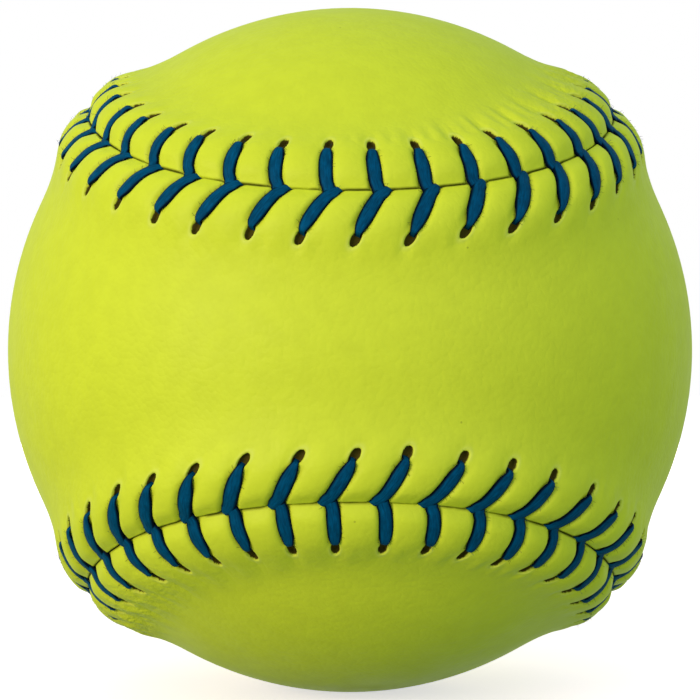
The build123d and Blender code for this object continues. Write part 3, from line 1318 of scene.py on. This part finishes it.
def mottle_group(detail: float = 4.0) -> NodeTree:
    """A shader group that lets a colour drift lighter and darker over a surface.

    Args:
        detail: How many finer layers the drift has.

    Returns:
        The group.
    """
    inputs = {"Place": "Vector", "Colour": "Color", "Scale": "Float", "Amount": "Float"}
    graph = Group("mottle", "ShaderNodeTree", inputs, {"Colour": "Color"})
    place, colour, scale, amount = (graph.given(name) for name in inputs)
    ends = [graph.math(step, 1.0, amount) for step in ("SUBTRACT", "ADD")]
    value = graph.mapped(graph.noise(place, Noise(scale, detail)), NOISE_RANGE, *ends)
    return graph.giving("Colour", graph.add("ShaderNodeHueSaturation", Value=value, Color=colour))


def pebble_group(unevenness: float = 0.6, dome: float = 2.0) -> NodeTree:
    """A shader group for a fine pebbled skin: rounded cells with creases between them.

    Args:
        unevenness: How far the cells are pushed out of shape, in cells.
        dome: How steeply they fall off towards the creases.

    Returns:
        The group.
    """
    inputs = {"Place": "Vector", "Scale": "Float", "Softness": "Float"}
    graph = Group("pebble", "ShaderNodeTree", inputs, {"Height": "Float"})
    place, scale, softness = (graph.given(name) for name in inputs)
    warp = graph.add("ShaderNodeTexNoise", Vector=place, Scale=scale, Detail=2.0).outputs["Color"]
    push = graph.scaled(graph.vector("SUBTRACT", warp, (0.5, 0.5, 0.5)), unevenness)
    spot = graph.vector("ADD", graph.scaled(place, scale), push)
    settings = {"feature": "SMOOTH_F1"}
    cells = graph.add("ShaderNodeTexVoronoi", settings, Vector=spot, Scale=1.0, Smoothness=softness)
    fall = graph.math("POWER", cells.outputs["Distance"], dome)
    return graph.giving("Height", graph.math("SUBTRACT", 1.0, fall))


class SharedGroups(NamedTuple):
    """The shader groups that more than one finish uses."""

    mottle: NodeTree
    pebble: NodeTree


class MaterialGraph(Graph):
    """A material's nodes, with the places on its piece and the shared groups at hand."""

    def __init__(self, tree: NodeTree, groups: SharedGroups) -> None:
        """Starts the nodes.

        Args:
            tree: The material's empty tree.
            groups: The shared shader groups.
        """
        super().__init__(tree)
        self.place = self.add("ShaderNodeTexCoord").outputs["Object"]
        self.groups = groups

    def drift(self, colour: Any, scale: float, amount: float) -> NodeSocket:
        """Lets a colour drift, by patches to a metre and strength."""
        inputs = {"Place": self.place, "Colour": colour, "Scale": scale, "Amount": amount}
        return self.add("ShaderNodeGroup", {"node_tree": self.groups.mottle}, **inputs).outputs["Colour"]

    def skin(self, scale: float, softness: float) -> NodeSocket:
        """Heights of a pebbled skin, by pebbles to a metre and how softly they meet."""
        inputs = {"Place": self.place, "Scale": scale, "Softness": softness}
        return self.add("ShaderNodeGroup", {"node_tree": self.groups.pebble}, **inputs).outputs["Height"]


class Finish(ABC):
    """A finish that is made into a material of its own name."""

    NAME = "finish"

    @abstractmethod
    def inputs(self, graph: MaterialGraph) -> dict[str, Any]:
        """What the finish's shader is fed, by input name with spaces as underscores."""

    def material(self, groups: SharedGroups) -> Material:
        """Builds the material.

        Args:
            groups: The shared shader groups.

        Returns:
            The material.
        """
        material = bpy.data.materials.new(self.NAME)
        material.use_nodes = True
        material.node_tree.nodes.clear()
        graph = MaterialGraph(material.node_tree, groups)
        shader = graph.add("ShaderNodeBsdfPrincipled", **self.inputs(graph))
        graph.add("ShaderNodeOutputMaterial", Surface=shader)
        return material


@dataclass(frozen=True)
class LeatherFinish(Finish):
    """Dyed satin leather with a fine pebble grain and real dark specks; painted shade makes it dark in its
    holes, along its edges at the seam, beside the stitch legs and in its crumples, and its holes' lips are
    painted lighter.
    """

    colour: Colour = (0.66, 0.745, 0.036, 1.0)  # the dye
    hole: Colour = linear(78, 68, 17)  # colour inside a punched hole: painted shade
    cut: Colour = linear(222, 229, 130)  # lighter colour painted on the pushed-up lip round a hole
    grime: Colour = linear(58, 60, 10)  # dark colour of real specks of dirt, and of painted shade in the seam's crack, beside the stitch legs and in the crumples
    # patches to a metre and strength of each drift of the dye
    drifts: tuple[Span, ...] = ((38.0, 0.012), (420.0, 0.022))
    specks: float = 260.0  # cells to a metre in which a dark speck may lie
    speck_size: Span = (0.02, 0.05)  # where a speck's edge starts and ends, in cells
    speck_rarity: Span = (0.78, 0.8)  # share of the cells that have no speck
    speck_strength: float = 0.35  # how dark a speck is
    pressed: float = 0.12  # strength of the painted shade beside the stitch legs
    soiled: float = 0.06  # strength of the painted shade in the crumples
    bared: float = 0.25  # how strongly that lighter colour is painted on the holes' lips
    patches: Noise = Noise(210.0)  # pattern that breaks the painted shade in the seam's crack into patches
    patch_edge: Span = (0.36, 0.62)  # where a patch of that painted shade starts and is full
    patch_grime: Span = (0.1, 0.95)  # least and most painted shade in the crack along the seam
    hole_edge: Span = (0.98, 1.06)  # where a hole's edge starts and ends, in sizes of the hole
    grain: float = 1500.0  # pebbles to a metre
    grain_softness: float = 0.35  # how softly they meet
    grain_relief: Relief = Relief(0.32, 0.12 * MM)  # how far they stand out
    pores: Noise = Noise(5200.0)  # pattern of the pores
    pore_share: float = 0.25  # height of the pores, as a share of the pebbles
    wrinkles: Noise = Noise(150.0, 5.0, 0.6)  # pattern of the broad wrinkles
    wrinkle_relief: Relief = Relief(0.27, 0.16 * MM)  # how far they stand out
    crumples: Noise = Noise(800.0, 3.0, 0.6)  # pattern of the crumples
    crumple_depth: float = 0.55 * MM  # their depth
    roughness: Span = (0.42, 0.51)  # least and most roughness of the satin face
    hole_roughness: float = 0.95  # roughness inside a hole
    shine: float = 0.14  # strength of its reflections

    NAME = "cover_leather"

    def inputs(self, graph: MaterialGraph) -> dict[str, Any]:
        """What the leather's shader is fed.

        Args:
            graph: The material's nodes.

        Returns:
            Values and sockets by input name.
        """
        colour: Any = self.colour
        for scale, amount in self.drifts:
            colour = graph.drift(colour, scale, amount)
        place = graph.place
        speck = graph.add("ShaderNodeTexVoronoi", Vector=place, Scale=self.specks).outputs
        dot = graph.mapped(speck["Distance"], self.speck_size, 1.0, 0.0)
        rare = graph.mapped(speck["Color"], self.speck_rarity, 0.0, self.speck_strength)
        # how strongly the painted shade in the seam's crack shows, in patches along the seam
        wear_and_shade = graph.mapped(graph.noise(place, self.patches), self.patch_edge, *self.patch_grime)
        fold = graph.attribute("fold")
        hole = graph.mapped(graph.attribute("punch"), self.hole_edge, 1.0, 0.0)
        # real dark specks of dirt first, then painted shade beside the legs, in the crumples, in the seam's
        # crack and in the holes, and a lighter colour painted on the holes' lips
        marks_and_shade = (
            (graph.times(dot, rare), self.grime),
            # painted shade in the grooves beside the stitch legs
            (graph.times(graph.attribute("shade"), self.pressed), self.grime),
            # painted shade in the crumples
            (graph.times(fold, self.soiled), self.grime),
            # the holes' lips painted lighter
            (graph.times(graph.attribute("rim"), self.bared), self.cut),
            # painted shade in the seam's crack, broken into patches
            (graph.times(graph.attribute("crease"), wear_and_shade), self.grime),
            (hole, self.hole),
        # painted shade inside the holes
        )
        for share, mark_colour in marks_and_shade:
            colour = graph.mixed(share, colour, mark_colour)
        pebbles = graph.skin(self.grain, self.grain_softness)
        wrinkle = graph.noise(place, self.wrinkles)
        fine = graph.math("MULTIPLY_ADD", graph.noise(place, self.pores), self.pore_share, pebbles)
        normal = graph.bump(fine, self.grain_relief)
        normal = graph.bump(wrinkle, self.wrinkle_relief, Normal=normal)
        crumple = Relief(fold, self.crumple_depth)
        normal = graph.bump(graph.noise(place, self.crumples), crumple, Normal=normal)
        satin = graph.mapped(wrinkle, NOISE_RANGE, *self.roughness)
        return {
            "Base_Color": colour,
            "Roughness": graph.mapped(hole, (0.0, 1.0), satin, self.hole_roughness),
            "Normal": normal,
            "Specular_IOR_Level": self.shine,
        }


@dataclass(frozen=True)
class ThreadFinish(Finish):
    """Flat waxed thread: fine strands along its length, their lighter streaks partly painted sheen, and
    painted shade that makes it dark where its edges roll under.
    """

    colour: Colour = linear(0, 72, 110)  # the dye on the face
    edge: Colour = linear(0, 14, 32)  # colour of the rolled edges: painted shade
    drift: Span = (700.0, 0.12)  # patches to a metre and strength of the dye's drift
    strands: float = 5.0  # strands across the thread's width
    breaks: float = 650.0  # how often a strand changes, to a metre
    strand_noise: Noise = Noise(1.0, 4.0, 0.65)  # pattern of the strands, in strands
    strand_range: Span = (0.3, 0.72)  # values that the pattern mostly has
    strand_light: Span = (0.68, 1.38)  # least and most brightness of the strands: their own tone, spread wider to paint the wax's sheen as lighter streaks
    rolled: Span = (0.56, 0.9)  # where the painted shade of the edges starts and is full, from the middle to the edge
    relief: Relief = Relief(0.5, 0.1 * MM)  # how far the strands stand out
    roughness: float = 0.52  # roughness of the wax
    shine: float = 0.03  # strength of its reflections

    NAME = "seam_thread"

    def inputs(self, graph: MaterialGraph) -> dict[str, Any]:
        """What the thread's shader is fed.

        Args:
            graph: The material's nodes.

        Returns:
            Values and sockets by input name.
        """
        run = graph.times(graph.attribute("run"), self.breaks)
        across = graph.times(graph.attribute("flank"), self.strands)
        strands = graph.noise(graph.add("ShaderNodeCombineXYZ", X=run, Y=across), self.strand_noise)
        colour = graph.drift(self.colour, *self.drift)
        # real strand tone, partly painted sheen
        light = graph.mapped(strands, self.strand_range, *self.strand_light)
        colour = graph.add("ShaderNodeHueSaturation", Value=light, Color=colour)
        # painted shade on the thread's rolled edges
        rolled = graph.mapped(graph.attribute("edge"), self.rolled)
        return {
            "Base_Color": graph.mixed(rolled, colour, self.edge),
            "Roughness": self.roughness,
            "Normal": graph.bump(strands, self.relief),
            "Specular_IOR_Level": self.shine,
        }


@dataclass(frozen=True)
class FoamFinish(Finish):
    """Moulded foam with a fine closed skin."""

    colour: Colour = (0.62, 0.55, 0.42, 1.0)  # the foam's own colour
    drift: Span = (60.0, 0.08)  # patches to a metre and strength of its drift
    cells: float = 900.0  # cells to a metre
    cell_softness: float = 0.2  # how softly they meet
    relief: Relief = Relief(0.3, 0.2 * MM)  # how far they stand out
    roughness: float = 0.8  # roughness of the skin

    NAME = "core_foam"

    def inputs(self, graph: MaterialGraph) -> dict[str, Any]:
        """What the foam's shader is fed.

        Args:
            graph: The material's nodes.

        Returns:
            Values and sockets by input name.
        """
        colour = graph.drift(self.colour, *self.drift)
        normal = graph.bump(graph.skin(self.cells, self.cell_softness), self.relief)
        return {"Base_Color": colour, "Roughness": self.roughness, "Normal": normal}


@dataclass(frozen=True)
class FloorFinish(Finish):
    """Pale matt paper."""

    colour: Colour = (0.93, 0.76, 0.92, 1.0)  # the paper's colour
    drift: Span = (3.0, 0.01)  # patches to a metre and strength of its drift
    roughness: float = 0.85  # its roughness
    glow: float = 0.62  # how far it is lit from behind
    bounce: Colour = (0.35, 0.43, 0.36, 1.0)  # its colour as the ball sees it

    NAME = "studio_paper"

    def inputs(self, graph: MaterialGraph) -> dict[str, Any]:
        """What the paper's shader is fed.

        Args:
            graph: The material's nodes.

        Returns:
            Values and sockets by input name.
        """
        seen = graph.add("ShaderNodeLightPath").outputs["Is Camera Ray"]
        colour = graph.drift(self.colour, *self.drift)
        return {
            "Base_Color": graph.mixed(seen, self.bounce, colour),
            "Roughness": self.roughness,
            "Specular_IOR_Level": 0.0,
            "Emission_Color": WHITE,
            "Emission_Strength": graph.times(seen, self.glow),
        }


@dataclass(frozen=True)
class Lamp:
    """One soft studio light that faces the ball."""

    name: str  # what the light is for
    place: tuple[float, float, float]  # where it stands
    size: float  # length of its square face
    power: float  # its power in watts
    colour: tuple[float, float, float]  # its colour
    mirrored: bool = True  # whether it shows in reflections

    def build(self) -> None:
        """Hangs the light."""
        data = bpy.data.lights.new(self.name, "AREA")
        data.size = self.size
        data.energy = self.power
        data.color = self.colour
        lamp = add_object(self.name, data)
        lamp.location = self.place
        lamp.visible_glossy = self.mirrored
        lamp.rotation_euler = (-Vector(self.place)).to_track_quat("-Z", "Y").to_euler()


@dataclass
class Studio:
    """The pale floor, the soft lights and the camera at the photograph's angle."""

    radius: float  # radius of the ball, which stands on the floor
    floor_size: float = 6.0  # length of the square floor
    camera_distance: float = 6.0  # distance of the camera from the ball's centre, in ball radii
    # small turns of the ball against the camera, about X, Y and Z
    camera_turn: tuple[float, float, float] = (-0.0098, -0.0005, 0.0131)
    camera_clip: float = 0.01  # least distance that the camera sees
    lens: float = 104.1  # focal length in millimetres
    sensor: float = 36.0  # width of the camera's sensor in millimetres
    sky: Colour = (0.385, 0.50, 0.33, 1.0)  # light from all round
    front_fill: Colour = (0.45, 0.46, 0.88, 1.0)  # light from the camera's side, on top of that
    back_fill: Colour = (0.30, 0.30, 0.25, 1.0)  # light from behind, on top of that
    # the soft lights
    lamps: tuple[Lamp, ...] = (
        Lamp("key_light", (-0.695, -0.71, 0.10), 0.6, 7.7, (1.0, 0.79, 0.60)),
        Lamp("back_light", (0.0, 0.95, 0.15), 0.4, 3.4, (1.0, 0.84, 0.68), mirrored=False),
    )

    def build(self, paper: Material) -> None:
        """Builds the whole studio.

        Args:
            paper: The floor's material.
        """
        self.floor(paper)
        for lamp in self.lamps:
            lamp.build()
        self.world()
        self.camera()
        bpy.context.scene.view_settings.view_transform = "Standard"

    def floor(self, paper: Material) -> None:
        """Lays the floor under the ball.

        Args:
            paper: Its material.
        """
        half = self.floor_size / 2
        corners = [(x * half, y * half, -self.radius) for x, y in ((-1, -1), (1, -1), (1, 1), (-1, 1))]
        floor = add_mesh("studio_floor", corners, (), [(0, 1, 2, 3)])
        floor.data.materials.append(paper)
        floor.visible_glossy = False

    def world(self) -> None:
        """Fills the room with soft light, and shows it as plain white."""
        world = bpy.data.worlds.new("studio_room")
        world.use_nodes = True
        world.node_tree.nodes.clear()
        graph = Graph(world.node_tree)
        seen = graph.add("ShaderNodeLightPath").outputs["Is Camera Ray"]
        heading = graph.add("ShaderNodeTexCoord").outputs["Generated"]
        depth = graph.add("ShaderNodeSeparateXYZ", Vector=heading).outputs["Y"]
        light = graph.add("ShaderNodeBackground", Color=self.sky, Strength=1.0)
        for fill, facing in ((self.front_fill, -1.0), (self.back_fill, 1.0)):
            strength = graph.math("MAXIMUM", graph.times(depth, facing), 0.0)
            side = graph.add("ShaderNodeBackground", Color=fill, Strength=strength)
            light = graph.add("ShaderNodeAddShader", in_0=light, in_1=side)
        white = graph.add("ShaderNodeBackground", Color=WHITE, Strength=1.0)
        both = graph.add("ShaderNodeMixShader", in_0=seen, in_1=light, in_2=white)
        graph.add("ShaderNodeOutputWorld", Surface=both)
        bpy.context.scene.world = world

    def camera(self) -> None:
        """Sets up the camera."""
        data = bpy.data.cameras.new("camera")
        data.lens = self.lens
        data.sensor_width = self.sensor
        data.clip_start = self.camera_clip
        camera = add_object("camera", data)
        turn = Euler(self.camera_turn, "XYZ").to_matrix().inverted().to_4x4()
        stand = Matrix.Translation((0, -self.camera_distance * self.radius, 0))
        level = Matrix.Rotation(math.pi / 2, 4, "X")
        camera.matrix_world = turn @ stand @ level
        bpy.context.scene.camera = camera


def dress(piece: Object, node: str) -> None:
    """Puts a finished piece in the place of its CAD node and reports it.

    Args:
        piece: The finished piece.
        node: The node that it stands for.
    """
    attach(piece, BODY)
    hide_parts(node)
    LOG.info("%s: %d points, %d faces", piece.name, len(piece.data.vertices), len(piece.data.polygons))


def main() -> None:
    """Builds the ball, dresses it and stages it."""
    logging.basicConfig(level=logging.INFO, format="%(name)s: %(message)s")
    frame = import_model()
    low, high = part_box("front_panel")
    seam = Seam(radius=(high[0] - low[0]) / 2)
    plan = StitchPlan(seam)
    form = RidgeForm()
    sizes = (seam.radius / MM, seam.length / MM, plan.pitch / MM)
    LOG.info("radius %.2f mm, seam %.1f mm, pitch %.2f mm", *sizes)

    groups = SharedGroups(mottle_group(), pebble_group())
    leather = LeatherFinish().material(groups)
    thread = ThreadFinish().material(groups)
    foam = FoamFinish().material(groups)

    core = frame["nodes"]["core"]
    core.data.materials.clear()
    core.data.materials.append(foam)
    for side in Side:
        word = side.name.lower()
        panel = LeatherPanel(side, plan, form).build(f"{word}_leather")
        panel.data.materials.append(leather)
        dress(panel, f"{word}_panel")

    tree = LacingTree().build()
    guide = seam.guide()
    for needle in Needle:
        word = needle.name.lower()
        stitches = Lacing(plan, form, needle).build(f"needle_{word}_stitches", tree, guide, thread)
        dress(stitches, f"needle_{word}_thread")
    bpy.data.objects.remove(guide)

    Studio(seam.radius).build(FloorFinish().material(groups))


if __name__ == "__main__":
    main()
